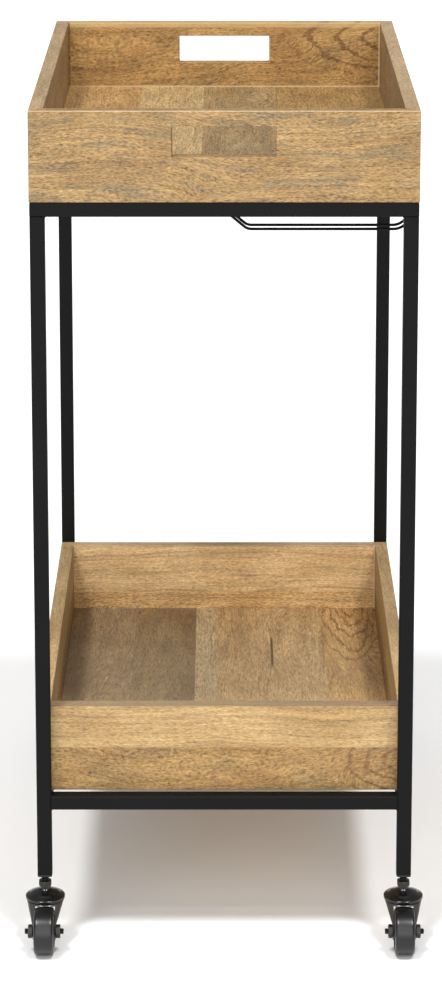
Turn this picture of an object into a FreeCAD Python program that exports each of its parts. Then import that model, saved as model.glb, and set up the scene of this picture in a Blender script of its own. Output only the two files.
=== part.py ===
import FreeCAD, Part
import math
import os

# Bar cart on four swivel casters: a square-tube frame, a lift-off tray on top, an open box as lower
# shelf and a rack of bent wires for stemmed glasses. Millimetres; +Z up, +Y along the cart's length,
# the origin on the floor under the middle of the cart. Wall names are seen from the -Y end.

# frame
frame_width = 400.0
frame_length = 600.0
frame_height = 738.5
tube = 15.5
tube_wall = 1.2
tube_corner = 1.8
caster_height = 77.0
shelf_rail_rise = 91.8

# foot plugs and caster stems
plug_flange = 2.0
plug_depth = 24.0
plug_wall_gap = 0.1
plug_corner = 3.0
stem_radius = 4.0
stem_in_plug = 18.0
thread_gap = 0.05
lock_nut_across = 13.0
lock_nut_height = 5.2
lock_nut_top_gap = 6.5

# casters
wheel_diameter = 50.0
wheel_width = 21.0
tyre_depth = 7.0
tyre_shoulder = 3.0
hub_recess = 3.5
hub_boss_radius = 8.0
hub_side_gap = 0.2
swivel_offset = 30.0
fork_gap = 22.0
fork_sheet = 1.5
fork_boss_radius = 9.0
fork_waist_over_nut = 0.3
fork_waist_forward = 1.0
crown_radius = 20.0
crown_bottom = 48.4
crown_wheel_gap = 0.8
collar_depth = 9.0
collar_crown_radius = 13.0
collar_rivet_gap = 0.6
axle_radius = 3.175
axle_length = 41.5
running_gap = 0.05
axle_nut_across = 12.7
axle_nut_height = 4.7
nut_chamfer = 0.7
thread_end_chamfer = 0.6
edge_break = 1.0
rivet_radius = 6.8
rivet_height = 3.2
rivet_gap = 0.3
cap_radius = 21.0
cap_rim_bottom = 51.3
cap_rim_height = 3.2
cap_shoulder_radius = 14.5
cap_shoulder_rise = 6.2
cap_boss_radius = 5.8
cap_boss_rise = 11.2
cap_skin = 1.2
ball_radius = 1.5
ball_ring_radius = 14.5
ball_count = 12
ball_gap = 0.3

# tray
tray_overhang = 0.5
tray_height = 95.5
tray_wall = 15.0
tray_floor_thickness = 12.0
tray_floor_top = 18.0
handle_length = 106.5
handle_height = 32.0
handle_below_rim = 16.0
handle_corner = 1.2
handle_softening = 0.6

# lower box
shelf_height = 95.5
shelf_wall = 15.0
shelf_floor_thickness = 10.0
shelf_floor_top = 15.0
shelf_leg_gap = 0.5
spacer_thickness = 1.1
spacer_radius = 5.5
shelf_fixing_inset = 70.0
screw_radius = 2.0
screw_head_radius = 3.8
screw_head_height = 2.2
screw_bite = 20.0
screw_point = 3.0
screw_hole_gap = 0.1

# joinery shared by both boxes
groove_depth = 5.0
groove_side_gap = 0.2
groove_end_gap = 0.5
floor_edge_step = 1.0
floor_edge_gap = 0.3
wood_softening = 0.9

# tray locating pegs
peg_radius = 3.0
peg_rise = 5.0
peg_sink = 5.0
peg_inset = 70.0
peg_hole_gap = 0.5
peg_hole_top_gap = 1.0

# glass rack
rack_wire = 3.0
rack_drop = 21.0
rack_slot = 20.0
rack_slots = 6
rack_bend = 16.5
rack_lip_bend = 12.0
rack_tip_bend = 9.0
rack_lip_angle = 40.0
rack_lip_corner = 24.0
rack_lip_below_tray = 14.5

# places worked out from the sizes above
half_width = frame_width / 2
half_length = frame_length / 2
frame_top = caster_height + frame_height
rail_bottom = frame_top - tube
leg_foot = caster_height + plug_flange
leg_x = half_width - tube / 2
leg_y = half_length - tube / 2
shelf_rail_top = caster_height + shelf_rail_rise
shelf_rail_bottom = shelf_rail_top - tube
shelf_bottom = shelf_rail_top + spacer_thickness
shelf_fixing_x = half_width - shelf_wall / 2
shelf_fixing_y = half_length - shelf_fixing_inset
peg_x = half_width + tray_overhang - tray_wall / 2
peg_y = half_length - peg_inset
rack_slot_pitch = frame_length / rack_slots
wheel_radius = wheel_diameter / 2
wire_radius = rack_wire / 2
up = FreeCAD.Vector(0, 0, 1)
along_x = FreeCAD.Vector(1, 0, 0)
along_y = FreeCAD.Vector(0, 1, 0)
centre = FreeCAD.Vector(0, 0, 0)
over = 1.0  # how far a cutting shape runs past what it cuts
ends = {"front": -1, "rear": 1}
sides = {"left": -1, "right": 1}

made = {}


def keep(name, shape):
    made[name] = shape


def rounded_rectangle(length, width, corner):
    """A face in the XY plane centred on the origin."""
    x = length / 2
    y = width / 2
    wire = Part.makePolygon([(-x, -y, 0), (x, -y, 0), (x, y, 0), (-x, y, 0), (-x, -y, 0)])
    block = Part.Face(wire).extrude(up)
    posts = [e for e in block.Edges if abs(e.tangentAt(e.FirstParameter).z) > 0.5]
    block = block.makeFillet(corner, posts)
    return [f for f in block.Faces if f.normalAt(0, 0).z < -0.5][0]


def hollow_bar(length):
    """Square tube standing on the origin along +Z."""
    bore = tube - 2 * tube_wall
    outer = rounded_rectangle(tube, tube, tube_corner).extrude(up * length)
    inner = rounded_rectangle(bore, bore, tube_corner - tube_wall).extrude(up * length)
    return outer.cut(inner)


def lying_bar(axis, length, x, y, z):
    """Square tube centred on a point, along X or Y."""
    bar = hollow_bar(length)
    bar.translate(FreeCAD.Vector(0, 0, -length / 2))
    bar.rotate(centre, along_y if axis is along_x else along_x, 90)
    bar.translate(FreeCAD.Vector(x, y, z))
    return bar


def mitred_ring(half_x, half_y, wall, bottom, top):
    """Four mitred prisms that make a rectangular ring: front, rear, left and right."""
    inner_x = half_x - wall
    inner_y = half_y - wall
    ring = {}
    for name, sign in ends.items():
        corners = [(-half_x, half_y), (half_x, half_y), (inner_x, inner_y), (-inner_x, inner_y)]
        ring[name] = prism([(x, sign * y) for x, y in corners], bottom, top)
    for name, sign in sides.items():
        corners = [(half_x, -half_y), (half_x, half_y), (inner_x, inner_y), (inner_x, -inner_y)]
        ring[name] = prism([(sign * x, y) for x, y in corners], bottom, top)
    return ring


def prism(corners, bottom, top):
    points = [FreeCAD.Vector(x, y, bottom) for x, y in corners]
    return Part.Face(Part.makePolygon(points + [points[0]])).extrude(up * (top - bottom))


def soften(shape, axis, radius):
    """Rounds the long straight edges of a board that run along an axis."""
    lines = [e for e in shape.Edges if e.Curve.TypeId == "Part::GeomLine"]
    longest = max(e.Length for e in lines)
    chosen = []
    for edge in lines:
        parallel = abs(edge.tangentAt(edge.FirstParameter).dot(axis)) > 0.999
        if parallel and edge.Length > longest / 2:
            chosen.append(edge)
    return shape.makeFillet(radius, chosen)


def turned(profile):
    """A solid of revolution about Z from closed (radius, height) points."""
    points = [FreeCAD.Vector(r, 0, z) for r, z in profile]
    return Part.Face(Part.makePolygon(points + [points[0]])).revolve(centre, up, 360)


def hexagon_nut(across, height, bore):
    """A nut standing on the origin along +Z, its corners chamfered at both ends."""
    reach = across / math.sqrt(3)
    corners = []
    for i in range(6):
        angle = math.radians(60 * i + 30)
        corners.append((reach * math.cos(angle), reach * math.sin(angle)))
    blunt = reach - nut_chamfer
    lower = [(0, 0), (blunt, 0), (reach, nut_chamfer)]
    upper = [(reach, height - nut_chamfer), (blunt, height), (0, height)]
    nut = prism(corners, 0, height).common(turned(lower + upper))
    return nut.cut(Part.makeCylinder(bore, height))


def moved(shape, x, y, z):
    copy = shape.copy()
    copy.translate(FreeCAD.Vector(x, y, z))
    return copy


def at_corners(shape):
    """Copies of a shape at the four legs."""
    return [moved(shape, sx * leg_x, sy * leg_y, 0) for sy in ends.values() for sx in sides.values()]


# frame ---------------------------------------------------------------------------------------

def build_legs():
    leg = hollow_bar(rail_bottom - leg_foot)
    for end, sy in ends.items():
        for side, sx in sides.items():
            keep(f"leg_{end}_{side}", moved(leg, sx * leg_x, sy * leg_y, leg_foot))


def build_top_rails():
    mitres = mitred_ring(half_width, half_length, tube, rail_bottom, frame_top)
    height = frame_top - tube / 2
    for end, sign in ends.items():
        bar = lying_bar(along_x, frame_width, 0, sign * leg_y, height)
        keep(f"top_rail_{end}", bar.common(mitres[end]))
    for side, sign in sides.items():
        bar = lying_bar(along_y, frame_length, sign * leg_x, 0, height)
        bar = bar.common(mitres[side])
        for y in (-peg_y, peg_y):
            peg_hole = Part.makeCylinder(peg_radius + thread_gap, peg_sink)
            bar = bar.cut(moved(peg_hole, sign * peg_x, y, frame_top - peg_sink))
        keep(f"top_rail_{side}", bar)


def build_bottom_rails():
    height = shelf_rail_top - tube / 2
    for end, sign in ends.items():
        keep(f"bottom_rail_{end}", lying_bar(along_x, frame_width - 2 * tube, 0, sign * leg_y, height))
    for side, sign in sides.items():
        bar = lying_bar(along_y, frame_length - 2 * tube, sign * leg_x, 0, height)
        for y in fixing_places():
            hole = Part.makeCylinder(screw_radius + screw_hole_gap, tube)
            bar = bar.cut(moved(hole, sign * shelf_fixing_x, y, shelf_rail_bottom))
        keep(f"bottom_rail_{side}", bar)


def build_pegs():
    pegs = []
    for sign in sides.values():
        for y in (-peg_y, peg_y):
            peg = Part.makeCylinder(peg_radius, peg_sink + peg_rise)
            peg = peg.makeChamfer(edge_break, [peg.Edges[0]])
            pegs.append(moved(peg, sign * peg_x, y, frame_top - peg_sink))
    keep("tray_locating_pegs", Part.makeCompound(pegs))


# foot plugs, stems and caster tops -----------------------------------------------------------

def build_plugs():
    bore = tube - 2 * tube_wall - 2 * plug_wall_gap
    flange = rounded_rectangle(tube, tube, plug_corner).extrude(up * plug_flange)
    core = rounded_rectangle(bore, bore, tube_corner - tube_wall).extrude(up * (plug_flange + plug_depth))
    hole = Part.makeCylinder(stem_radius + thread_gap, plug_flange + stem_in_plug)
    plug = moved(flange.fuse(core).cut(hole), 0, 0, caster_height)
    keep("leg_end_plugs", Part.makeCompound(at_corners(plug)))


def build_stems():
    stem_top = caster_height + stem_in_plug
    head_top = crown_bottom - rivet_gap
    rim = rivet_radius - edge_break
    head_bottom = head_top - rivet_height
    stem = turned([
        (0, head_bottom), (rim, head_bottom),
        (rivet_radius, head_bottom + edge_break), (rivet_radius, head_top),
        (stem_radius, head_top), (stem_radius, stem_top - edge_break),
        (stem_radius - edge_break, stem_top), (0, stem_top),
    ])
    keep("caster_stems", Part.makeCompound(at_corners(stem)))


def build_lock_nuts():
    bottom = caster_height - lock_nut_top_gap - lock_nut_height
    nut = moved(hexagon_nut(lock_nut_across, lock_nut_height, stem_radius + thread_gap), 0, 0, bottom)
    keep("stem_lock_nuts", Part.makeCompound(at_corners(nut)))


def cap_outline(inset):
    """Dome outline from the rim inwards and up to the boss, drawn in by the skin for the hollow."""
    rim_top = cap_rim_bottom + cap_rim_height
    return [
        (cap_radius - inset, cap_rim_bottom),
        (cap_radius - inset, rim_top - inset),
        (cap_radius - 2 * edge_break - inset, rim_top + edge_break - inset),
        (cap_shoulder_radius - inset, cap_rim_bottom + cap_shoulder_rise - inset),
        (cap_boss_radius + 2 * edge_break, cap_rim_bottom + cap_boss_rise - 2 * edge_break - inset),
    ]


def build_caps():
    boss_top = cap_rim_bottom + cap_boss_rise
    seat = caster_height - lock_nut_top_gap - lock_nut_height
    bore = stem_radius + thread_gap
    outer = turned(cap_outline(0) + [
        (cap_boss_radius, boss_top), (cap_boss_radius, seat), (bore, seat), (bore, cap_rim_bottom),
    ])
    hollow_top = boss_top - 2 * edge_break - cap_skin
    hollow = turned(cap_outline(cap_skin) + [(0, hollow_top), (0, cap_rim_bottom)])
    cap = outer.cut(hollow)
    for end, sy in ends.items():
        for side, sx in sides.items():
            keep(f"caster_cap_{end}_{side}", moved(cap, sx * leg_x, sy * leg_y, 0))


def build_balls():
    height = crown_bottom + fork_sheet + ball_gap + ball_radius
    ball = Part.makeSphere(ball_radius)
    balls = []
    for i in range(ball_count):
        angle = 2 * math.pi * i / ball_count
        x = ball_ring_radius * math.cos(angle)
        y = ball_ring_radius * math.sin(angle)
        balls.append(moved(ball, x, y, height))
    keep("swivel_bearing_balls", Part.makeCompound(at_corners(Part.makeCompound(balls))))


# casters: each is modelled on the origin, its wheel towards -Y --------------------------------

def fork_section(half_x, half_y, y, z, corner):
    face = moved(rounded_rectangle(2 * half_x, 2 * half_y, corner), 0, y, z)
    return face.OuterWire


def fork_skin(inset, top, bottom):
    """Outside of the pressed fork: from the round crown down to two flat cheeks at the axle."""
    radius = crown_radius - inset
    cheek_x = fork_gap / 2 + fork_sheet - inset
    cheek_y = fork_boss_radius - inset
    waist = wheel_radius + axle_nut_across / 2 + fork_waist_over_nut
    corner = cheek_y * 0.7
    crown = fork_section(radius, radius, 0, top, radius * 0.98)
    middle = fork_section(cheek_x, cheek_y, fork_waist_forward - swivel_offset, waist, corner)
    foot = fork_section(cheek_x, cheek_y, -swivel_offset, bottom, corner)
    return Part.makeLoft([crown, middle, foot], True, True)


def build_fork():
    top = crown_bottom + fork_sheet
    bottom = wheel_radius - fork_boss_radius
    skin = fork_skin(0, top, bottom)
    hollow = fork_skin(fork_sheet, crown_bottom, bottom - over)
    slot = Part.makeBox(fork_gap, 4 * crown_radius + 2 * swivel_offset, crown_bottom - bottom + over)
    slot = moved(slot, -fork_gap / 2, -2 * crown_radius - swivel_offset, bottom - over)
    fork = skin.cut(hollow).cut(slot)
    fork = fork.common(cheek_rounding(top, bottom)).fuse(build_collar())
    fork = fork.cut(cross_hole(wheel_radius + crown_wheel_gap, fork_gap))
    fork = fork.cut(cross_hole(axle_radius + running_gap, 2 * crown_radius))
    return fork.cut(Part.makeCylinder(stem_radius + running_gap, top + over))


def build_collar():
    """Cup pressed down from the crown round the stem's riveted head."""
    bore = rivet_radius + collar_rivet_gap
    outer = bore + fork_sheet
    low = crown_bottom - collar_depth
    return turned([
        (bore, low), (outer - edge_break, low), (outer, low + edge_break),
        (collar_crown_radius, crown_bottom), (bore, crown_bottom),
    ])


def cheek_rounding(top, bottom):
    """Side outline that rounds the cheeks' lower ends about the axle."""
    reach = 2 * crown_radius
    length = 2 * reach
    boss = cross_hole(fork_boss_radius, length)
    upper = Part.makeBox(length, 2 * length, top - wheel_radius + over)
    return boss.fuse(moved(upper, -reach, -length, wheel_radius))


def cross_hole(radius, length):
    """A cylinder along X through the axle's place."""
    place = FreeCAD.Vector(-length / 2, -swivel_offset, wheel_radius)
    return Part.makeCylinder(radius, length, place, along_x)


def build_axle():
    axle = Part.makeCylinder(axle_radius, axle_length)
    axle = axle.makeChamfer(thread_end_chamfer, [axle.Edges[0], axle.Edges[2]])
    return stood_across(axle, -axle_length / 2)


def stood_across(shape, start):
    """Turns a shape that stands along +Z so that it lies along +X, starting at a place on the axle."""
    copy = shape.copy()
    copy.rotate(centre, along_y, 90)
    copy.translate(FreeCAD.Vector(start, -swivel_offset, wheel_radius))
    return copy


def build_axle_nuts():
    nut = hexagon_nut(axle_nut_across, axle_nut_height, axle_radius + thread_gap)
    outside = fork_gap / 2 + fork_sheet
    left = stood_across(nut, -outside - axle_nut_height)
    return Part.makeCompound([left, stood_across(nut, outside)])


def build_hub():
    half = wheel_width / 2
    rim = wheel_radius - tyre_depth
    boss_half = fork_gap / 2 - hub_side_gap
    web_half = half - hub_recess
    lip = rim - 2 * edge_break
    bore = axle_radius + running_gap
    right = [(bore, boss_half), (hub_boss_radius, boss_half), (hub_boss_radius + edge_break, web_half),
             (lip - edge_break, web_half), (lip, half - edge_break), (rim, half - edge_break)]
    left = [(r, -z) for r, z in reversed(right)]
    return stood_across(turned(right + left), 0)


def build_tyre():
    half = wheel_width / 2
    rim = wheel_radius - tyre_depth
    outer = Part.makeCylinder(wheel_radius, wheel_width)
    outer = outer.makeFillet(tyre_shoulder, [outer.Edges[0], outer.Edges[2]])
    tyre = outer.cut(Part.makeCylinder(rim, wheel_width))
    tyre.translate(FreeCAD.Vector(0, 0, -half))
    return stood_across(tyre, 0)


def build_casters():
    pieces = {
        "caster_fork": build_fork(),
        "axle_bolt": build_axle(),
        "axle_nuts": build_axle_nuts(),
        "wheel_hub": build_hub(),
        "wheel_tyre": build_tyre(),
    }
    for end, sy in ends.items():
        for side, sx in sides.items():
            for name, piece in pieces.items():
                turned_piece = piece.copy()
                if sy > 0:
                    turned_piece.rotate(centre, up, 180)
                keep(f"{name}_{end}_{side}", moved(turned_piece, sx * leg_x, sy * leg_y, 0))


# wooden boxes --------------------------------------------------------------------------------

def box_walls(half_x, half_y, wall, bottom, height, floor_top, floor_thickness):
    """Mitred walls with softened edges and a groove round the inside for the floor's stepped edge."""
    walls = mitred_ring(half_x, half_y, wall, bottom, bottom + height)
    for name in walls:
        walls[name] = soften(walls[name], along_x if name in ends else along_y, wood_softening)
    reach_x = half_x - wall + groove_depth
    reach_y = half_y - wall + groove_depth
    low = bottom + floor_top - floor_thickness
    groove_height = floor_thickness - floor_edge_step + groove_side_gap
    groove = Part.makeBox(2 * reach_x, 2 * reach_y, groove_height)
    groove = moved(groove, -reach_x, -reach_y, low)
    for name in walls:
        walls[name] = walls[name].cut(groove)
    return walls


def box_floor(half_x, half_y, wall, bottom, floor_top, floor_thickness):
    """A panel whose thinner edge sits in the walls' groove while its field fills the box."""
    reach_x = half_x - wall + groove_depth - groove_end_gap
    reach_y = half_y - wall + groove_depth - groove_end_gap
    field_x = half_x - wall - floor_edge_gap
    field_y = half_y - wall - floor_edge_gap
    low = bottom + floor_top - floor_thickness
    edge = Part.makeBox(2 * reach_x, 2 * reach_y, floor_thickness - floor_edge_step)
    field = Part.makeBox(2 * field_x, 2 * field_y, floor_thickness)
    return moved(edge, -reach_x, -reach_y, low).fuse(moved(field, -field_x, -field_y, low)).removeSplitter()


def cut_handle(wall, end, half_y, rim):
    """Cuts the hand hole through an end wall and rounds its edges."""
    hole = rounded_rectangle(handle_length, handle_height, handle_corner).extrude(up * 3 * tray_wall)
    hole.rotate(centre, along_x, 90)
    middle = rim - handle_below_rim - handle_height / 2
    hole.translate(FreeCAD.Vector(0, ends[end] * (half_y - tray_wall / 2) + 1.5 * tray_wall, middle))
    wall = wall.cut(hole)
    mouth = []
    for edge in wall.Edges:
        box = edge.BoundBox
        inside = box.XMax < handle_length / 2 + over and box.XMin > -handle_length / 2 - over
        if inside and box.YLength < over and box.ZMin > middle - handle_height and box.ZMax < rim - over:
            mouth.append(edge)
    return wall.makeFillet(handle_softening, mouth)


def build_tray():
    half_x = half_width + tray_overhang
    half_y = half_length + tray_overhang
    sizes = (half_x, half_y, tray_wall, frame_top)
    walls = box_walls(*sizes, tray_height, tray_floor_top, tray_floor_thickness)
    for end in ends:
        walls[end] = cut_handle(walls[end], end, half_y, frame_top + tray_height)
    for side, sign in sides.items():
        for y in (-peg_y, peg_y):
            socket = Part.makeCylinder(peg_radius + peg_hole_gap, peg_rise + peg_hole_top_gap)
            walls[side] = walls[side].cut(moved(socket, sign * peg_x, y, frame_top))
    for name, wall in walls.items():
        keep(f"tray_{name}_wall", wall)
    keep("tray_floor", box_floor(*sizes, tray_floor_top, tray_floor_thickness))


def fixing_places():
    return (-shelf_fixing_y, 0, shelf_fixing_y)


def build_shelf():
    half_y = half_length - tube - shelf_leg_gap
    sizes = (half_width, half_y, shelf_wall, shelf_bottom)
    walls = box_walls(*sizes, shelf_height, shelf_floor_top, shelf_floor_thickness)
    for side, sign in sides.items():
        for y in fixing_places():
            hole = Part.makeCylinder(screw_radius + screw_hole_gap, screw_bite + over)
            walls[side] = walls[side].cut(moved(hole, sign * shelf_fixing_x, y, shelf_bottom))
    for name, wall in walls.items():
        keep(f"shelf_{name}_wall", wall)
    keep("shelf_floor", box_floor(*sizes, shelf_floor_top, shelf_floor_thickness))


def build_shelf_fixings():
    head = screw_head_height
    top = shelf_bottom - shelf_rail_bottom + screw_bite
    screw = turned([
        (0, -head), (screw_head_radius - edge_break, -head), (screw_head_radius, -head + edge_break),
        (screw_head_radius, 0), (screw_radius, 0), (screw_radius, top - screw_point), (0, top),
    ])
    spacer = Part.makeCylinder(spacer_radius, spacer_thickness)
    spacer = spacer.cut(Part.makeCylinder(screw_radius + screw_hole_gap, spacer_thickness))
    screws = []
    spacers = []
    for sign in sides.values():
        for y in fixing_places():
            screws.append(moved(screw, sign * shelf_fixing_x, y, shelf_rail_bottom))
            spacers.append(moved(spacer, sign * shelf_fixing_x, y, shelf_rail_top))
    keep("shelf_screws", Part.makeCompound(screws))
    keep("shelf_spacers", Part.makeCompound(spacers))


# glass rack ----------------------------------------------------------------------------------

def bent_wire(points, bends):
    """Round wire through points, with a tangent arc at each inner point."""
    edges = []
    start = points[0]
    for before, corner, after, radius in zip(points, points[1:], points[2:], bends):
        way_in = (corner - before).normalize()
        way_out = (after - corner).normalize()
        half_turn = way_in.getAngle(way_out) / 2
        setback = radius * math.tan(half_turn)
        arc_start = corner - way_in * setback
        arc_end = corner + way_out * setback
        inward = (way_out - way_in).normalize()
        arc_middle = corner + inward * (radius / math.cos(half_turn) - radius)
        edges.append(Part.LineSegment(start, arc_start).toShape())
        edges.append(Part.Arc(arc_start, arc_middle, arc_end).toShape())
        start = arc_end
    edges.append(Part.LineSegment(start, points[-1]).toShape())
    path = Part.Wire(edges)
    ring = Part.Wire(Part.Circle(points[0], (points[1] - points[0]).normalize(), wire_radius).toShape())
    return path.makePipeShell([ring], True, True)


def rack_points(y):
    """Wire centreline at one place along the cart: rail, run, and the raised lip's top corner."""
    run = rail_bottom - rack_drop
    lip = frame_top - rack_lip_below_tray
    reach = (lip - run) / math.tan(math.radians(rack_lip_angle))
    return [
        FreeCAD.Vector(leg_x, y, rail_bottom),
        FreeCAD.Vector(leg_x, y, run),
        FreeCAD.Vector(rack_lip_corner, y, run),
        FreeCAD.Vector(rack_lip_corner - reach, y, lip),
    ]


def build_rack():
    first = -rack_slot_pitch * (rack_slots - 1) / 2
    for i in range(rack_slots - 1):
        near = first + i * rack_slot_pitch + rack_slot / 2
        far = near + rack_slot_pitch - rack_slot
        points = rack_points(near) + list(reversed(rack_points(far)))
        bends = [rack_bend, rack_lip_bend, rack_tip_bend, rack_tip_bend, rack_lip_bend, rack_bend]
        keep(f"glass_rail_{i + 1}", bent_wire(points, bends))
    for end, sign in ends.items():
        y = sign * (-first + rack_slot / 2)
        points = rack_points(y)
        points.append(FreeCAD.Vector(points[-1].x, sign * (half_length - tube), points[-1].z))
        bends = [rack_bend, rack_lip_bend, rack_tip_bend]
        keep(f"glass_rail_{end}", bent_wire(points, bends))


build_legs()
build_top_rails()
build_bottom_rails()
build_pegs()
build_plugs()
build_stems()
build_lock_nuts()
build_caps()
build_balls()
build_casters()
build_tray()
build_shelf()
build_shelf_fixings()
build_rack()

os.makedirs("parts", exist_ok=True)
for node_name, node_shape in made.items():
    node_shape.exportStep(f"parts/{node_name}.step")
print(len(made), "nodes")
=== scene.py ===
import math
import bmesh
import bpy
from mathutils import Matrix, Vector


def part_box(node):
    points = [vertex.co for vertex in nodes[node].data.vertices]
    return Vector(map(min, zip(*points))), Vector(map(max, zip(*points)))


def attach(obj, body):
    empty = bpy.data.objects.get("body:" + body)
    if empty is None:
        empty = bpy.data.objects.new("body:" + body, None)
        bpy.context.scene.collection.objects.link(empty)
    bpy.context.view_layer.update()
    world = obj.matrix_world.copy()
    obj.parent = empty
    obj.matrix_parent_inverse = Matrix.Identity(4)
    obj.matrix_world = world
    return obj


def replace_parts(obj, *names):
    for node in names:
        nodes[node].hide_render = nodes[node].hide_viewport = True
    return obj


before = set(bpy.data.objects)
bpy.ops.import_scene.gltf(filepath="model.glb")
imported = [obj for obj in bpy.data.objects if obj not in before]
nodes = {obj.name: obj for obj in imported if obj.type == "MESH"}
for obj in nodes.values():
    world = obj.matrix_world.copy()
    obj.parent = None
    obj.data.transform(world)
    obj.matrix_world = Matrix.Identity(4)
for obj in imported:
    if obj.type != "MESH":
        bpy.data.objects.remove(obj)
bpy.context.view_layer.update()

corners = [f"{end}_{side}" for end in ("front", "rear") for side in ("left", "right")]
mm = 0.001


class Signal:
    # one socket of a shader; arithmetic on it adds Math nodes

    def __init__(self, socket):
        self.socket = socket

    def node(self, kind, settings, inputs, output=0):
        tree = self.socket.id_data
        made = tree.nodes.new(kind)
        for name, value in settings.items():
            if name == "stops":
                fillRamp(made.color_ramp, value)
            else:
                setattr(made, name, value)
        for name, value in inputs.items():
            if isinstance(value, Signal):
                tree.links.new(value.socket, made.inputs[name])
            else:
                made.inputs[name].default_value = value
        return Signal(made.outputs[output])

    def maths(self, operation, *values):
        return self.node("ShaderNodeMath", {"operation": operation}, dict(enumerate(values)))

    def __add__(self, other):
        return self.maths("ADD", self, other)

    def __sub__(self, other):
        return self.maths("SUBTRACT", self, other)

    def __rsub__(self, other):
        return self.maths("SUBTRACT", other, self)

    def __mul__(self, other):
        return self.maths("MULTIPLY", self, other)

    def __truediv__(self, other):
        return self.maths("DIVIDE", self, other)

    def __rtruediv__(self, other):
        return self.maths("DIVIDE", other, self)

    __radd__ = __add__
    __rmul__ = __mul__

    def split(self):
        made = self.node("ShaderNodeSeparateXYZ", {}, {"Vector": self}).socket.node
        return [Signal(part) for part in made.outputs]

    def join(self, y, z):
        return self.node("ShaderNodeCombineXYZ", {}, {"X": self, "Y": y, "Z": z})

    def noise(self, scale, detail=2.0, roughness=0.5, distortion=0.0):
        inputs = {"Vector": self, "Scale": scale, "Detail": detail, "Roughness": roughness,
                  "Distortion": distortion}
        return self.node("ShaderNodeTexNoise", {}, inputs)

    def between(self, low, high):
        # smooth step from 0 to 1 as this signal goes from low to high
        inputs = {"Value": self, "From Min": low, "From Max": high, "To Min": 0.0, "To Max": 1.0}
        return self.node("ShaderNodeMapRange", {"interpolation_type": "SMOOTHSTEP"}, inputs)

    def mix(self, first, second):
        # this signal is the factor
        settings = {"data_type": "RGBA", "blend_type": "MIX", "clamp_factor": True}
        return self.node("ShaderNodeMix", settings, {0: self, 6: first, 7: second}, 2)

    def bump(self, distance, strength):
        return self.node("ShaderNodeBump", {}, {"Height": self, "Distance": distance, "Strength": strength})

    def feed(self, shader, name):
        self.socket.id_data.links.new(self.socket, shader.inputs[name])


def fillRamp(ramp, stops):
    ramp.interpolation = "CONSTANT"
    while len(ramp.elements) < len(stops):
        ramp.elements.new(1.0)
    for element, (position, colour) in zip(ramp.elements, stops):
        element.position = position
        element.color = colour


def tint(red, green, blue):
    # an everyday 0-255 colour as Blender's linear one
    def linear(value):
        value /= 255
        return value / 12.92 if value <= 0.04045 else ((value + 0.055) / 1.055) ** 2.4
    return (linear(red), linear(green), linear(blue), 1.0)


def newMaterial(name, constants):
    material = bpy.data.materials.new(name)
    material.use_nodes = True
    shader = material.node_tree.nodes["Principled BSDF"]
    for socketName, value in constants.items():
        shader.inputs[socketName].default_value = value
    place = material.node_tree.nodes.new("ShaderNodeTexCoord").outputs["Object"]
    return material, shader, Signal(place)


def dress(material, name):
    nodes[name].data.materials.clear()
    nodes[name].data.materials.append(material)


# wood: each board has a figure of its own, set by its colours and by knots that push the rings aside

woodShades = {
    "brown": tint(146, 108, 68),
    # the rings' colour, for the arches and also for painted shade at the rear handle hole's left edge
    "rings": tint(104, 68, 38),
    # painted highlight: the light tone that rims, lit edges and corners and the shelf floor's front sheen are
    # mixed towards
    "painted_highlight": tint(222, 196, 156),
    # painted light: the tone of a lit band just below the top of the tray's rear wall
    "painted_light_band": tint(214, 180, 122),
    # dark tone for a real crack in the shelf floor and for painted shade in the tray's rear left corner and
    # at the front handle hole's left edge
    "crack_and_painted_shade": tint(52, 36, 22),
    # painted shadow: the darker tone on the shelf's front and rear rims, standing for the tray's shadow
    "painted_tray_shadow": tint(128, 112, 94),
}

# each part of the figure: length and width in millimetres, then the noise's detail and roughness
figureParts = {
    "slow": (230.0, 80.0, 2.0, 0.5),
    "wander": (70.0, 26.0, 2.0, 0.5),
    "jag": (6.0, 3.0, 2.0, 0.6),
    "cloud": (80.0, 30.0, 3.0, 0.55),
    "murk": (75.0, 13.0, 3.0, 0.6),
    "growth": (380.0, 5.0, 3.0, 0.6),
    "fibre": (46.0, 1.8, 2.0, 0.5),
    "dash": (4.4, 1.5, 2.0, 0.6),
    "pores": (3.4, 0.9, 1.0, 0.4),
}

# where each mask starts and is full
figureEdges = {
    "knot": (1.25, 0.75), "arch": (0.55, 1.0), "cloud": (0.35, 0.65),
    "murk": (0.46, 0.66), "growth": (0.5, 0.72), "pores": (0.60, 0.74),
}

figureLook = {
    "boardStep": 173.0, "depthPull": 0.9, "wander": 7.0, "archWander": 0.36, "archJag": 0.14,
    "murkOffset": 31.0, "dashOffset": 7.0, "poreOffset": 19.0,
    "fibreContrast": 0.8, "growthContrast": 1.1, "poreContrast": 0.18,
    "roughness": 0.38, "fibreRoughness": 0.14, "poreRoughness": 0.2,
    "dashRelief": 0.5, "fibreRelief": 0.3, "poreRelief": 0.9, "growthRelief": 0.3,
    "bumpHeight": 0.00015, "bumpStrength": 0.6, "lineCore": 0.6,
}


def board(light, dark, murk, murkDepth, bands, stipple=1.0):
    return {"light": tint(*light), "dark": tint(*dark), "murk": tint(*murk),
            "murkDepth": murkDepth, "bands": bands, "stipple": stipple}


def perBoard(number, boards, key):
    # one value or colour per board, picked by the board's number
    count = len(boards)
    first = boards[0][key]
    if isinstance(first, tuple):
        stops = [(i / count, boards[i][key]) for i in range(count)]
    else:
        stops = [(i / count, (boards[i][key],) * 3 + (1.0,)) for i in range(count)]
    place = (number + 0.5) / count
    return place.node("ShaderNodeValToRGB", {"stops": stops}, {"Fac": place})


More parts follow.
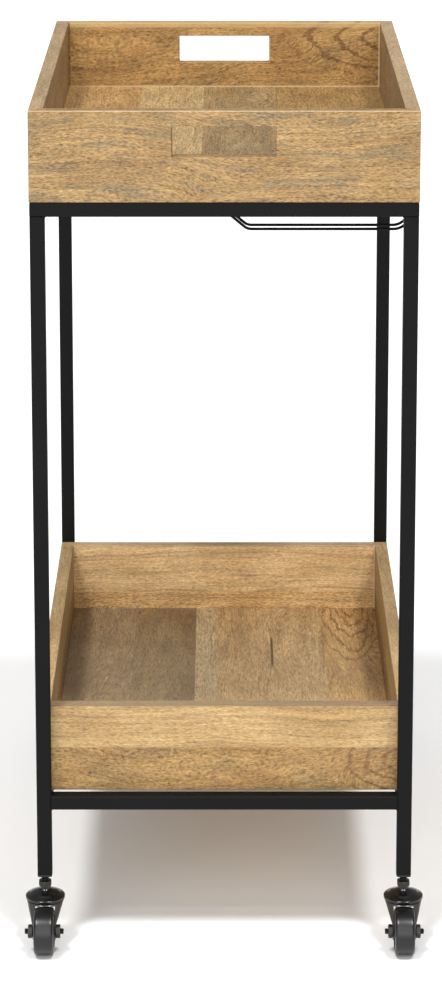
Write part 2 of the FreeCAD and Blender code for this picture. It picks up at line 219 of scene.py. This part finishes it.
def woodMaterial(name, grain, across, boards, figure):
    # grain and across are axis numbers; the third axis is the board's thickness
    material, shader, place = newMaterial(name, {"IOR": 1.45, "Specular IOR Level": 0.45})
    axes = [axis * 1000 for axis in place.split()]
    along, over, deep = axes[grain], axes[across], axes[3 - grain - across]
    number = place.node("ShaderNodeAttribute", {"attribute_name": "board"}, {}, 2)
    drift = number * figureLook["boardStep"] + figure["seed"]
    u = along + drift

    def patch(part, second, third, offset=0.0):
        length, width, detail, roughness = figureParts[part]
        return (u / length + offset).join(second / width, third).noise(1.0, detail, roughness)

    def streaks(part, stretch=1.0, offset=0.0):
        length, width, detail, roughness = figureParts[part]
        length *= stretch
        spot = (u / length + offset).join(rings / width, (over + deep) / length + offset)
        return spot.noise(1.0, detail, roughness)

    slow = patch("slow", over, drift + deep / figureParts["slow"][1])
    wander = patch("wander", over, drift + deep / figureParts["wander"][1])
    jag = patch("jag", over, drift)
    rings = over + deep * figureLook["depthPull"]
    rings = rings + (slow - 0.5) * figure["sweep"] + (wander - 0.5) * figureLook["wander"]
    arches = None
    for knot in figure["knots"]:
        du = (along - knot["at"][0]) / knot["size"][0]
        dv = (over - knot["at"][1]) / knot["size"][1]
        reach = du * du + dv * dv
        reach = reach.maths("SQRT", reach)
        inside = reach.between(*figureEdges["knot"])
        if knot["board"] is not None:
            inside = inside * number.maths("COMPARE", number, float(knot["board"]), 0.5)
        rings = rings + 1 / (1 + reach * reach) * inside * knot["push"]
        if knot["count"]:
            uneven = reach + (wander - 0.5) * figureLook["archWander"] + (jag - 0.5) * figureLook["archJag"]
            wave = uneven * (2 * math.pi * knot["count"])
            arch = wave.maths("SINE", wave).between(*figureEdges["arch"]) * inside * knot["depth"]
            arches = arch if arches is None else arches.maths("MAXIMUM", arches, arch)

    cloud = patch("cloud", over, drift)
    murk = patch("murk", rings, drift, figureLook["murkOffset"])
    length, width, detail, roughness = figureParts["growth"]
    growth = (rings / width).join(u / length, drift).noise(1.0, detail, roughness)
    fibre = streaks("fibre")
    dash = streaks("dash", figure["stretch"], figureLook["dashOffset"])
    pores = streaks("pores", figure["stretch"], figureLook["poreOffset"])

    bands = perBoard(number, boards, "bands")
    stipple = perBoard(number, boards, "stipple")
    poreMask = pores.between(*figureEdges["pores"]) * stipple
    cloudMask = cloud.between(*figureEdges["cloud"])
    colour = cloudMask.mix(perBoard(number, boards, "dark"), perBoard(number, boards, "light"))
    murkMask = murk.between(*figureEdges["murk"]) * perBoard(number, boards, "murkDepth")
    colour = murkMask.mix(colour, perBoard(number, boards, "murk"))
    colour = (growth.between(*figureEdges["growth"]) * bands).mix(colour, woodShades["brown"])
    if arches:
        colour = arches.mix(colour, woodShades["rings"])
    grit = figure["grit"]
    gain = 1.0 + (fibre - 0.5) * figureLook["fibreContrast"] + (dash - 0.5) * stipple * grit
    gain = gain + (0.5 - growth) * bands * figureLook["growthContrast"]
    gain = gain - poreMask * figureLook["poreContrast"] * grit
    colour = colour.node("ShaderNodeVectorMath", {"operation": "SCALE"}, {0: colour, "Scale": gain})
    # each line mixes the colour towards a shade: mostly painted highlights, painted shade and painted shadow
    # along rims, edges and corners, and one real crack
    for spots, depth, shade in figure["lines"]:
        mask = depth
        for axis, centre, half in spots:
            away = axes[axis] - centre
            mask = away.maths("ABSOLUTE", away).between(half, half * figureLook["lineCore"]) * mask
        colour = mask.mix(colour, woodShades[shade])
    colour.feed(shader, "Base Color")
    polish = figureLook["roughness"] + fibre * figureLook["fibreRoughness"]
    (polish + poreMask * figureLook["poreRoughness"]).feed(shader, "Roughness")
    relief = dash * figureLook["dashRelief"] + fibre * figureLook["fibreRelief"]
    relief = relief - poreMask * figureLook["poreRelief"] + growth * figureLook["growthRelief"]
    relief.bump(figureLook["bumpHeight"], figureLook["bumpStrength"]).feed(shader, "Normal")
    return material


def figureOf(seed, knots=(), sweep=40.0, lines=(), grit=2.0, stretch=1.0):
    # a line is a mark, mostly painted highlight or painted shade and once a real crack: spots of (axis,
    # centre, half width) that hold together, a depth and a shade
    return {"seed": seed, "knots": knots, "sweep": sweep, "lines": lines, "grit": grit, "stretch": stretch}


def knotAt(along, over, length, width, push, count=0, depth=0.0, board=None):
    # pushes the rings aside; count and depth draw arches round the middle
    return {"at": (along, over), "size": (length, width), "push": push, "count": count, "depth": depth,
            "board": board}


# distances in metres and angles in radians for cutting and turning
tolerance = {"merge": 0.000002, "onPlane": 0.0000005, "pole": 0.0000002, "past": 0.01,
             "bendCut": 0.5, "bendTurned": 0.6}


def copyOf(name):
    # a node's mesh as a closed, merged bmesh
    mesh = bmesh.new()
    mesh.from_mesh(nodes[name].data)
    bmesh.ops.remove_doubles(mesh, verts=mesh.verts, dist=tolerance["merge"])
    return mesh


def addPiece(name, mesh, material, body):
    data = bpy.data.meshes.new(name)
    mesh.to_mesh(data)
    mesh.free()
    piece = bpy.data.objects.new(name, data)
    bpy.context.scene.collection.objects.link(piece)
    data.materials.append(material)
    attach(piece, body)
    return piece


def joinInto(whole, part):
    # adds one bmesh to another
    data = bpy.data.meshes.new("passing")
    part.to_mesh(data)
    part.free()
    whole.from_mesh(data)
    bpy.data.meshes.remove(data)


def splitBoards(nodeName, axis, joints, easing):
    # cuts a node's mesh into glued-up boards, eases the arrises at the joints and numbers the boards
    low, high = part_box(nodeName)
    limits = [low[axis] - tolerance["past"]] + list(joints) + [high[axis] + tolerance["past"]]
    direction = Vector([1.0 if i == axis else 0.0 for i in range(3)])
    whole = bmesh.new()
    for number, (start, end) in enumerate(zip(limits, limits[1:])):
        part = copyOf(nodeName)
        for limit, way in ((start, -direction), (end, direction)):
            everything = part.verts[:] + part.edges[:] + part.faces[:]
            cut = bmesh.ops.bisect_plane(part, geom=everything, dist=tolerance["onPlane"], plane_no=way,
                                         plane_co=direction * limit, clear_outer=True)["geom_cut"]
            rim = [item for item in cut if isinstance(item, bmesh.types.BMEdge)]
            if rim:
                bmesh.ops.contextual_create(part, geom=rim)
        cutEdges = []
        for edge in part.edges:
            spots = [vert.co[axis] for vert in edge.verts]
            atJoint = any(max(abs(spot - joint) for spot in spots) < tolerance["merge"] for joint in joints)
            if atJoint and len(edge.link_faces) == 2 and edge.calc_face_angle(0.0) > tolerance["bendCut"]:
                cutEdges.append(edge)
        bmesh.ops.bevel(part, geom=cutEdges, offset=easing, offset_type="OFFSET", affect="EDGES", segments=1,
                        profile=0.5, material=-1, clamp_overlap=True)
        layer = part.faces.layers.float.new("board")
        for face in part.faces:
            face[layer] = float(number)
        joinInto(whole, part)
    return whole


golden = board((160, 129, 83), (143, 112, 68), (120, 105, 77), 0.75, 0.65)
rearGolden = board((175, 137, 82), (156, 118, 67), (134, 110, 68), 0.6, 0.6)
sideGolden = board((158, 131, 95), (142, 114, 77), (124, 104, 75), 0.5, 0.4)
strawBoard = board((177, 147, 99), (163, 131, 84), (143, 120, 80), 0.3, 0.45, 0.7)
honeyBoard = board((159, 126, 77), (141, 107, 61), (125, 104, 66), 0.5, 0.4)
# copies of the honey and straw boards painted lighter for the shelf's rear wall: painted light for the front
# light that reaches its inner face
rearStrawPaintedLight = board((225, 190, 138), (208, 171, 120), (187, 158, 114), 0.35, 0.4, 0.7)
rearHoneyPaintedLight = board((218, 179, 122), (198, 157, 102), (176, 148, 106), 0.5, 0.4)

trayWalls = {
    "front": (golden, figureOf(11.0, (
        knotAt(-130.0, 850.0, 115.0, 62.0, -24.0),
        knotAt(120.0, 915.0, 150.0, 60.0, 18.0),
    ), sweep=32.0, grit=2.4, lines=(
        # painted highlight along the front face's top edge, then painted shade at the handle hole's left edge
        (((2, 911.0, 1.2), (1, -300.5, 1.0)), 0.4, "painted_highlight"),
        (((0, -53.4, 1.3), (1, -300.5, 1.0), (2, 879.0, 20.0)), 0.6, "crack_and_painted_shade"),
    ))),
    "rear": (rearGolden, figureOf(47.0, (
        knotAt(204.0, 893.0, 122.0, 46.0, -28.0, 4, 0.75),
        knotAt(-110.0, 845.0, 120.0, 50.0, 24.0),
    ), grit=2.2, lines=(
        # painted light band below the top of the inner face, then painted highlights on the rim, at the floor
        # joint, in the right corner and at the handle hole's right edge
        (((2, 910.0, 6.0), (1, 285.5, 0.6)), 0.55, "painted_light_band"),
        (((2, 911.0, 1.6),), 0.12, "painted_highlight"),
        (((2, 834.2, 1.0), (1, 285.5, 0.6)), 0.6, "painted_highlight"),
        (((0, 184.6, 1.1), (1, 285.5, 0.6)), 0.6, "painted_highlight"),
        (((0, 53.6, 1.2), (1, 285.5, 0.6), (2, 879.0, 18.0)), 0.6, "painted_highlight"),
        # painted shade at the handle hole's left edge and in the left corner
        (((0, -53.6, 1.2), (1, 285.5, 0.6), (2, 879.0, 18.0)), 0.4, "rings"),
        (((0, -185.2, 1.8), (1, 285.5, 0.6)), 0.5, "crack_and_painted_shade"),
    ))),
    "left": (sideGolden, figureOf(83.0, grit=2.8, stretch=1.8, lines=(
        # painted highlight on the rim
        (((2, 911.0, 2.0),), 0.14, "painted_highlight"),
    ))),
    "right": (sideGolden, figureOf(129.0, grit=2.8, stretch=1.8, lines=(
        # painted highlight on the rim, stronger than on the left wall
        (((2, 911.0, 2.0),), 0.22, "painted_highlight"),
    ))),
}

shelfWalls = {
    "front": figureOf(5.0, (
        knotAt(196.0, 205.0, 76.0, 46.0, -26.0, 4, 0.65, board=0),
        knotAt(-60.0, 160.0, 150.0, 60.0, 17.0, board=0),
    # painted shadow on the rim, standing for the tray's shadow
    ), sweep=34.0, grit=2.3, lines=((((2, 265.4, 1.6),), 0.55, "painted_tray_shadow"),)),
    "rear": figureOf(61.0, grit=2.2, lines=(
        # painted shadow on the rim, then a painted highlight in the inner face's right corner
        (((2, 265.4, 1.6),), 0.45, "painted_tray_shadow"),
        (((0, 184.4, 1.6), (1, 269.0, 0.6)), 0.9, "painted_highlight"),
    )),
    # painted highlights on the side walls' rims
    "left": figureOf(94.0, grit=2.8, stretch=1.8, lines=((((2, 265.4, 2.0),), 0.12, "painted_highlight"),)),
    "right": figureOf(140.0, grit=2.8, stretch=1.8, lines=((((2, 265.4, 2.0),), 0.16, "painted_highlight"),)),
}

shelfStaves = (
    (-107.0, board((149, 126, 94), (132, 110, 80), (115, 102, 81), 0.5, 0.4)),
    (-34.0, board((134, 112, 79), (118, 95, 64), (104, 90, 69), 0.5, 0.4)),
    (-8.5, board((191, 167, 129), (178, 152, 114), (159, 140, 109), 0.3, 0.3)),
    (57.5, board((196, 162, 115), (177, 144, 99), (154, 130, 96), 0.4, 0.4)),
    (119.0, board((188, 156, 112), (172, 140, 98), (146, 126, 94), 0.3, 0.4)),
    (None, board((197, 159, 104), (177, 138, 88), (153, 128, 93), 0.4, 0.4)),
)

trayStaves = (
    (-98.0, board((177, 141, 92), (161, 125, 78), (138, 110, 72), 0.3, 0.45)),
    (-24.0, board((184, 155, 108), (168, 139, 95), (145, 126, 89), 0.5, 0.35)),
    (62.0, board((152, 125, 85), (136, 109, 71), (116, 100, 69), 0.6, 0.4)),
    (None, board((156, 123, 76), (138, 107, 63), (116, 94, 62), 0.4, 0.4)),
)


# seams between the walls' boards, in millimetres above the shelf's bottom; joints' easings in metres
boxJoinery = {"seam": {"front": 48.0, "rear": 36.0, "left": 48.0, "right": 48.0},
              "wallEasing": 0.00012, "floorEasing": 0.00015}


def buildTray():
    for wall, (kind, figure) in trayWalls.items():
        grain = 0 if wall in ("front", "rear") else 1
        dress(woodMaterial(f"tray_{wall}_mango", grain, 2, (kind,), figure), f"tray_{wall}_wall")
    joints = [stave[0] * mm for stave in trayStaves[:-1]]
    figure = figureOf(23.0, (
        knotAt(150.0, 14.0, 90.0, 40.0, 20.0, 4, 0.3, board=2),
        knotAt(262.0, -116.0, 14.0, 12.0, 4.0, 1, 0.9, board=0),
    ), grit=2.3, stretch=2.2)
    material = woodMaterial("tray_floor_mango", 1, 0, [stave[1] for stave in trayStaves], figure)
    shape = splitBoards("tray_floor", 0, joints, boxJoinery["floorEasing"])
    floor = addPiece("tray_floor_staves", shape, material, "tray")
    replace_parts(floor, "tray_floor")


def buildShelf():
    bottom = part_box("shelf_front_wall")[0].z
    for wall, figure in shelfWalls.items():
        grain = 0 if wall in ("front", "rear") else 1
        name = f"shelf_{wall}_wall"
        # the rear wall takes the lighter copies, painted light for the light that reaches it
        boards = (rearHoneyPaintedLight, rearStrawPaintedLight) if wall == "rear" else (honeyBoard, strawBoard)
        material = woodMaterial(f"shelf_{wall}_mango", grain, 2, boards, figure)
        seam = bottom + boxJoinery["seam"][wall] * mm
        shape = splitBoards(name, 2, [seam], boxJoinery["wallEasing"])
        piece = addPiece(f"shelf_{wall}_boards", shape, material, "frame")
        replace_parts(piece, name)
    joints = [stave[0] * mm for stave in shelfStaves[:-1]]
    figure = figureOf(37.0, (
        knotAt(-60.0, -138.0, 110.0, 42.0, 24.0, 4, 0.4, board=0),
        knotAt(290.0, 152.0, 230.0, 46.0, 34.0, 6, 0.75, board=5),
    ), grit=2.1, stretch=2.4, lines=(
        # a real crack beside a stave joint, then a painted sheen that lightens the floor towards its front
        (((0, 56.4, 1.8), (1, 110.0, 62.0)), 0.9, "crack_and_painted_shade"),
        (((1, -330.0, 560.0),), 0.12, "painted_highlight"),
    ))
    material = woodMaterial("shelf_floor_mango", 1, 0, [stave[1] for stave in shelfStaves], figure)
    shape = splitBoards("shelf_floor", 0, joints, boxJoinery["floorEasing"])
    floor = addPiece("shelf_floor_staves", shape, material, "frame")
    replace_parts(floor, "shelf_floor")


buildTray()
buildShelf()
print("wood done")


# steel, enamel, rubber and plastic

finishLooks = {
    # colour, worn colour, roughness, height of the surface's grain, coat of gloss, metal, mirror level
    "powder_coated_steel": (tint(9, 9, 9), tint(17, 17, 17), 0.55, 0.00010, 0.0, 0.0, 0.13),
    "caster_enamel": (tint(9, 9, 9), tint(18, 17, 16), 0.24, 0.00002, 0.12, 0.0, 0.45),
    "fork_enamel": (tint(54, 50, 46), tint(66, 62, 57), 0.34, 0.00004, 0.1, 0.0, 0.45),
    "blackened_steel": (tint(18, 17, 16), tint(44, 42, 39), 0.36, 0.00004, 0.0, 0.0, 0.45),
    "bearing_steel": (tint(126, 126, 126), tint(168, 168, 166), 0.25, 0.00001, 0.0, 0.9, 0.45),
    "hub_plastic": (tint(30, 30, 30), tint(42, 42, 42), 0.42, 0.00005, 0.0, 0.0, 0.45),
    "wheel_tread": (tint(15, 15, 15), tint(25, 25, 24), 0.30, 0.00006, 0.0, 0.0, 0.45),
    "black_plastic": (tint(18, 18, 18), tint(28, 28, 28), 0.5, 0.00006, 0.0, 0.0, 0.45),
}

# each noise's scale, detail, roughness and distortion, then what is made of them
finishGrain = {
    "speckle": (1500.0, 2.0, 0.5), "patches": (16.0, 3.0, 0.6), "scuffs": (90.0, 4.0, 0.7, 0.6),
    "scuffEdge": (0.60, 0.78), "scuffShare": 0.6, "patchEdge": (0.45, 0.75), "patchShare": 0.4,
    "smoother": 0.06, "speckleRoughness": 0.08, "wearRoughness": 0.10,
    "scuffRelief": 0.3, "bumpStrength": 0.7,
}


def finishMaterial(name):
    colour, worn, roughness, grain, gloss, metallic, mirror = finishLooks[name]
    constants = {"Metallic": metallic, "IOR": 1.5, "Specular IOR Level": mirror,
                 "Coat Weight": gloss, "Coat Roughness": 0.12}
    material, shader, place = newMaterial(name, constants)
    speckle, patches, scuffs = [place.noise(*finishGrain[part]) for part in ("speckle", "patches", "scuffs")]
    scuffed = scuffs.between(*finishGrain["scuffEdge"]) * finishGrain["scuffShare"]
    wear = scuffed + patches.between(*finishGrain["patchEdge"]) * finishGrain["patchShare"]
    wear.mix(colour, worn).feed(shader, "Base Color")
    polish = roughness - finishGrain["smoother"] + speckle * finishGrain["speckleRoughness"]
    (polish + wear * finishGrain["wearRoughness"]).feed(shader, "Roughness")
    relief = speckle + scuffs * finishGrain["scuffRelief"]
    relief.bump(grain, finishGrain["bumpStrength"]).feed(shader, "Normal")
    return material


finishes = {name: finishMaterial(name) for name in finishLooks}


def spun(profile, steps, loop=True, easing=0.0):
    # turns (radius, height) points, in millimetres, round the Z axis
    shape = bmesh.new()
    points = [shape.verts.new((radius * mm, 0.0, height * mm)) for radius, height in profile]
    lines = [shape.edges.new(pair) for pair in zip(points, points[1:])]
    if loop:
        lines.append(shape.edges.new((points[-1], points[0])))
    bmesh.ops.spin(shape, geom=points + lines, cent=(0, 0, 0), axis=(0, 0, 1), dvec=(0, 0, 0),
                   angle=2 * math.pi, steps=steps, use_merge=True, use_duplicate=False)
    bmesh.ops.remove_doubles(shape, verts=shape.verts, dist=tolerance["pole"])
    bmesh.ops.recalc_face_normals(shape, faces=shape.faces)
    if easing:
        folds = [edge for edge in shape.edges if len(edge.link_faces) == 2]
        sharp = [edge for edge in folds if edge.calc_face_angle(0.0) > tolerance["bendTurned"]]
        bmesh.ops.bevel(shape, geom=sharp, offset=easing * mm, offset_type="OFFSET", affect="EDGES",
                        segments=2, profile=0.5, material=-1, clamp_overlap=True)
    return shape


def shift(shape, place, turn=None):
    if turn:
        bmesh.ops.transform(shape, matrix=turn, verts=shape.verts)
    bmesh.ops.translate(shape, vec=place, verts=shape.verts)
    return shape


def middleOf(name):
    low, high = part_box(name)
    return (low + high) / 2


def smooth(piece, angle=32):
    piece.data.shade_smooth()
    piece.data.set_sharp_from_angle(angle=math.radians(angle))
    return piece


acrossX = Matrix.Rotation(math.radians(90), 4, "Y")

wheel = {
    "tyre": [(18.0, -10.5), (22.2, -10.5), (23.6, -10.1), (24.5, -9.2), (24.9, -7.9), (25.0, -6.0),
             (25.0, 6.0), (24.9, 7.9), (24.5, 9.2), (23.6, 10.1), (22.2, 10.5), (18.0, 10.5)],
    "hub": [(3.3, -10.8), (7.6, -10.8), (8.4, -10.0), (9.2, -7.0), (14.6, -7.0), (15.6, -9.5), (17.9, -9.5),
            (17.9, 9.5), (15.6, 9.5), (14.6, 7.0), (9.2, 7.0), (8.4, 10.0), (7.6, 10.8), (3.3, 10.8)],
    "tyreSteps": 96, "hubSteps": 64, "hubEasing": 0.3,
    "ribs": 6, "ribThick": 1.8, "ribInner": 8.2, "ribOuter": 15.2, "ribDepth": 2.2, "webHalf": 7.0,
    "ribEasing": 0.25, "ribSink": 0.3,
}


def ribOf(number, side):
    # one spoke-like rib on a face of the hub's web
    rib = bmesh.new()
    bmesh.ops.create_cube(rib, size=1.0)
    size = Vector((wheel["ribOuter"] - wheel["ribInner"], wheel["ribThick"], wheel["ribDepth"])) * mm
    bmesh.ops.scale(rib, vec=size, verts=rib.verts)
    bmesh.ops.bevel(rib, geom=rib.edges[:], offset=wheel["ribEasing"] * mm, offset_type="OFFSET",
                    affect="EDGES", segments=1, profile=0.5, material=-1)
    outwards = (wheel["ribOuter"] + wheel["ribInner"]) / 2 * mm
    height = side * (wheel["webHalf"] + wheel["ribDepth"] / 2 - wheel["ribSink"]) * mm
    turn = Matrix.Rotation(2 * math.pi * number / wheel["ribs"], 4, "Z")
    bmesh.ops.translate(rib, vec=(outwards, 0, height), verts=rib.verts)
    bmesh.ops.transform(rib, matrix=turn, verts=rib.verts)
    return rib


def buildWheels():
    for corner in corners:
        body = f"wheel_{corner}"
        centre = middleOf(f"wheel_tyre_{corner}")
        shape = shift(spun(wheel["tyre"], wheel["tyreSteps"]), centre, acrossX)
        tyre = addPiece(f"tyre_{corner}", shape, finishes["wheel_tread"], body)
        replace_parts(smooth(tyre), f"wheel_tyre_{corner}")
        shape = spun(wheel["hub"], wheel["hubSteps"], easing=wheel["hubEasing"])
        for side in (-1, 1):
            for number in range(wheel["ribs"]):
                joinInto(shape, ribOf(number, side))
        shape = shift(shape, centre, acrossX)
        hub = addPiece(f"hub_{corner}", shape, finishes["hub_plastic"], body)
        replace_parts(smooth(hub), f"wheel_hub_{corner}")


axleLook = {"radius": 3.15, "half": 20.75, "chamfer": 0.8, "threaded": 8.0, "pitch": 1.0, "depth": 0.42,
            "steps": 32}


def buildAxles():
    radius, half, depth = axleLook["radius"], axleLook["half"], axleLook["depth"]
    end = [(0.0, half), (radius - axleLook["chamfer"], half)]
    height = half - axleLook["chamfer"]
    while height > half - axleLook["threaded"]:
        end += [(radius, height), (radius - depth, height - axleLook["pitch"] / 2)]
        height -= axleLook["pitch"]
    end.append((radius, height))
    profile = end + [(r, -h) for r, h in reversed(end)]
    finish = "blackened_steel"
    for corner in corners:
        node = f"axle_bolt_{corner}"
        shape = shift(spun(profile, axleLook["steps"], loop=False), middleOf(node), acrossX)
        axle = addPiece(f"axle_{corner}", shape, finishes[finish], f"caster_{corner}")
        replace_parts(smooth(axle), node)


capLook = [
    (21.0, 0.0), (21.0, 2.7), (20.5, 3.2), (19.2, 3.9), (15.2, 5.5), (14.6, 6.2), (13.6, 6.6), (8.2, 9.0),
    (6.6, 9.9), (5.8, 11.0), (5.8, 14.0), (4.1, 14.0), (4.1, 9.4), (7.2, 8.0), (13.0, 5.2), (14.2, 4.3),
    (18.6, 2.7), (19.8, 1.9), (19.8, 0.0),
]
stemLook = {
    "head": [(0.0, 0.0), (4.6, 0.15), (6.7, 1.1), (6.7, 3.0), (4.0, 3.0)],
    "radius": 4.0, "pitch": 1.25, "depth": 0.55, "threadLow": 17.0, "plainTop": 2.0, "topChamfer": 0.9,
    "steps": 36, "capSteps": 96,
}


def buildStems():
    low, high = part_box("caster_stems")
    tall = (high.z - low.z) / mm
    radius, pitch = stemLook["radius"], stemLook["pitch"]
    height = stemLook["threadLow"]
    profile = stemLook["head"] + [(radius, height)]
    while height < tall - stemLook["plainTop"]:
        profile += [(radius - stemLook["depth"], height + pitch / 2), (radius, height + pitch)]
        height += pitch
    profile += [(radius - stemLook["topChamfer"], tall), (0.0, tall)]
    stems = bmesh.new()
    for corner in corners:
        place = middleOf(f"caster_cap_{corner}")
        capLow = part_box(f"caster_cap_{corner}")[0].z
        shape = shift(spun(capLook, stemLook["capSteps"]), Vector((place.x, place.y, capLow)))
        cap = addPiece(f"cap_{corner}", shape, finishes["caster_enamel"], "frame")
        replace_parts(smooth(cap), f"caster_cap_{corner}")
        stem = spun(profile, stemLook["steps"], loop=False)
        joinInto(stems, shift(stem, Vector((place.x, place.y, low.z))))
    piece = addPiece("threaded_stems", stems, finishes["blackened_steel"], "frame")
    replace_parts(smooth(piece), "caster_stems")


screwLook = {
    "head": [(0.0, 1.3), (1.3, 1.1), (1.75, 0.0), (2.6, 0.0), (3.5, 0.5), (3.8, 1.3), (3.8, 2.2), (2.0, 2.2)],
    "headRadius": 3.8, "radius": 2.0, "root": 1.5, "pitch": 1.2, "threadLow": 8.0, "threadTop": 4.0,
    "tipRadius": 1.2, "tip": 1.5, "steps": 24,
}


def buildScrews():
    low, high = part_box("shelf_screws")
    tall = (high.z - low.z) / mm
    height, radius, pitch = screwLook["threadLow"], screwLook["radius"], screwLook["pitch"]
    profile = screwLook["head"] + [(radius, height)]
    while height < tall - screwLook["threadTop"]:
        profile += [(screwLook["root"], height + pitch / 2), (radius, height + pitch)]
        height += pitch
    profile += [(screwLook["tipRadius"], tall - screwLook["tip"]), (0.0, tall)]
    screws = bmesh.new()
    sideX = high.x - screwLook["headRadius"] * mm
    sideY = high.y - screwLook["headRadius"] * mm
    for x in (-sideX, sideX):
        for y in (-sideY, 0.0, sideY):
            joinInto(screws, shift(spun(profile, screwLook["steps"], loop=False), Vector((x, y, low.z))))
    piece = addPiece("shelf_screws_threaded", screws, finishes["blackened_steel"], "frame")
    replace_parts(smooth(piece), "shelf_screws")


weld = {"pitch": 1.7, "size": 1.5, "inset": 2.2, "wireRadius": 1.5, "ringRadius": 1.9, "blobRadius": 1.1,
        "blobSink": 0.2, "blobTurn": 60, "smoothAngle": 60}


def weldDrop(shape, radius, place):
    drop = bmesh.new()
    bmesh.ops.create_icosphere(drop, subdivisions=1, radius=radius * mm)
    bmesh.ops.translate(drop, vec=place, verts=drop.verts)
    joinInto(shape, drop)


def weldRun(shape, start, end):
    # a row of overlapping weld ripples from one point to another
    count = max(2, round((end - start).length / (weld["pitch"] * mm)))
    for number in range(count + 1):
        weldDrop(shape, weld["size"], start.lerp(end, number / count))


def weldLegs(shape):
    # across the legs' faces, where the bottom rails meet them and under the top frame
    legLow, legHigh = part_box("leg_front_left")
    inset = weld["inset"] * mm
    for level in ("bottom", "top"):
        railLow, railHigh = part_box(f"{level}_rail_left")
        heights = (railLow.z, railHigh.z) if level == "bottom" else (railLow.z,)
        for signX in (-1, 1):
            for signY in (-1, 1):
                x, y = signX * abs(legHigh.x), signY * abs(legHigh.y)
                outX, outY = signX * abs(legLow.x), signY * abs(legLow.y)
                for z in heights:
                    weldRun(shape, Vector((outX - signX * inset, y, z)), Vector((x + signX * inset, y, z)))
                    weldRun(shape, Vector((x, outY - signY * inset, z)), Vector((x, y + signY * inset, z)))


def weldRack(shape):
    # a ring of drops round each wire's end on the side rail
    radius = weld["wireRadius"] * mm
    for name in nodes:
        if name.startswith("glass_rail"):
            low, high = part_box(name)
            ends = {"glass_rail_front": (high.y - radius,), "glass_rail_rear": (low.y + radius,)}
            for y in ends.get(name, (low.y + radius, high.y - radius)):
                for angle in range(0, 360, weld["blobTurn"]):
                    outX = weld["ringRadius"] * mm * math.cos(math.radians(angle))
                    outY = weld["ringRadius"] * mm * math.sin(math.radians(angle))
                    place = (high.x - radius + outX, y + outY, high.z - weld["blobSink"] * mm)
                    weldDrop(shape, weld["blobRadius"], place)


def buildWelds():
    shape = bmesh.new()
    weldLegs(shape)
    weldRack(shape)
    beads = addPiece("weld_beads", shape, finishes["powder_coated_steel"], "frame")
    smooth(beads, weld["smoothAngle"])


def dressNodes():
    rules = (
        ("leg_end_plugs", "black_plastic"), ("shelf_spacers", "black_plastic"),
        ("tray_locating_pegs", "black_plastic"), ("leg_", "powder_coated_steel"),
        ("top_rail", "powder_coated_steel"), ("bottom_rail", "powder_coated_steel"),
        ("glass_rail", "powder_coated_steel"), ("stem_lock", "blackened_steel"),
        ("swivel", "bearing_steel"), ("caster_fork", "fork_enamel"), ("axle", "blackened_steel"),
    )
    for name in nodes:
        for start, finish in rules:
            if name.startswith(start):
                dress(finishes[finish], name)
                break


dressNodes()
buildWheels()
buildAxles()
buildStems()
buildScrews()
buildWelds()
print("metal done")


# floor, light and camera

studio = {
    "floorSize": 24.0,
    "floorLook": {"Roughness": 0.9, "Specular IOR Level": 0.1},
    "floorTones": (tint(250, 250, 250), tint(252, 252, 252)),
    "floorPatches": 3.0,
    "floorPatchEdge": (0.3, 0.7),
    "skyStrength": 0.36,
    # where each light comes from, its spread in degrees and its strength
    "lights": {
        "left_light": ((-0.29, -0.40, 1.0), 10.0, 1.6),
        "right_light": ((0.29, -0.40, 1.0), 10.0, 1.5),
        "front_light": ((-0.10, -1.0, 0.36), 60.0, 1.9),
    },
}


def buildStudio():
    scene = bpy.context.scene
    scene.view_settings.view_transform = "Standard"
    world = bpy.data.worlds.new("pale_room")
    world.use_nodes = True
    sky = world.node_tree.nodes["Background"]
    sky.inputs["Color"].default_value = (1.0, 1.0, 1.0, 1.0)
    sky.inputs["Strength"].default_value = studio["skyStrength"]
    scene.world = world
    mesh = bpy.data.meshes.new("studio_floor")
    grid = bmesh.new()
    bmesh.ops.create_grid(grid, x_segments=1, y_segments=1, size=studio["floorSize"] / 2)
    grid.to_mesh(mesh)
    grid.free()
    floor = bpy.data.objects.new("studio_floor", mesh)
    scene.collection.objects.link(floor)
    material, shader, place = newMaterial("pale_floor", studio["floorLook"])
    patches = place.noise(studio["floorPatches"]).between(*studio["floorPatchEdge"])
    patches.mix(*studio["floorTones"]).feed(shader, "Base Color")
    mesh.materials.append(material)
    for name, (source, spread, strength) in studio["lights"].items():
        lamp = bpy.data.lights.new(name, "SUN")
        lamp.angle = math.radians(spread)
        lamp.energy = strength
        holder = bpy.data.objects.new(name, lamp)
        scene.collection.objects.link(holder)
        holder.rotation_euler = Vector(source).to_track_quat("Z", "Y").to_euler()


eye = {"place": (0.0, -3.6198, 1.5148), "tiltDown": 12.16, "sensor": 36.0, "lens": 120.46,
       "shiftX": -0.0033, "shiftY": -0.28, "far": 50.0}


def buildCamera():
    camera = bpy.data.cameras.new("camera")
    camera.sensor_width = eye["sensor"]
    camera.lens = eye["lens"]
    camera.shift_x = eye["shiftX"]
    camera.shift_y = eye["shiftY"]
    camera.clip_end = eye["far"]
    holder = bpy.data.objects.new("camera", camera)
    bpy.context.scene.collection.objects.link(holder)
    holder.location = eye["place"]
    holder.rotation_euler = (math.radians(90 - eye["tiltDown"]), 0.0, 0.0)
    bpy.context.scene.camera = holder


buildStudio()
buildCamera()
print("studio done")
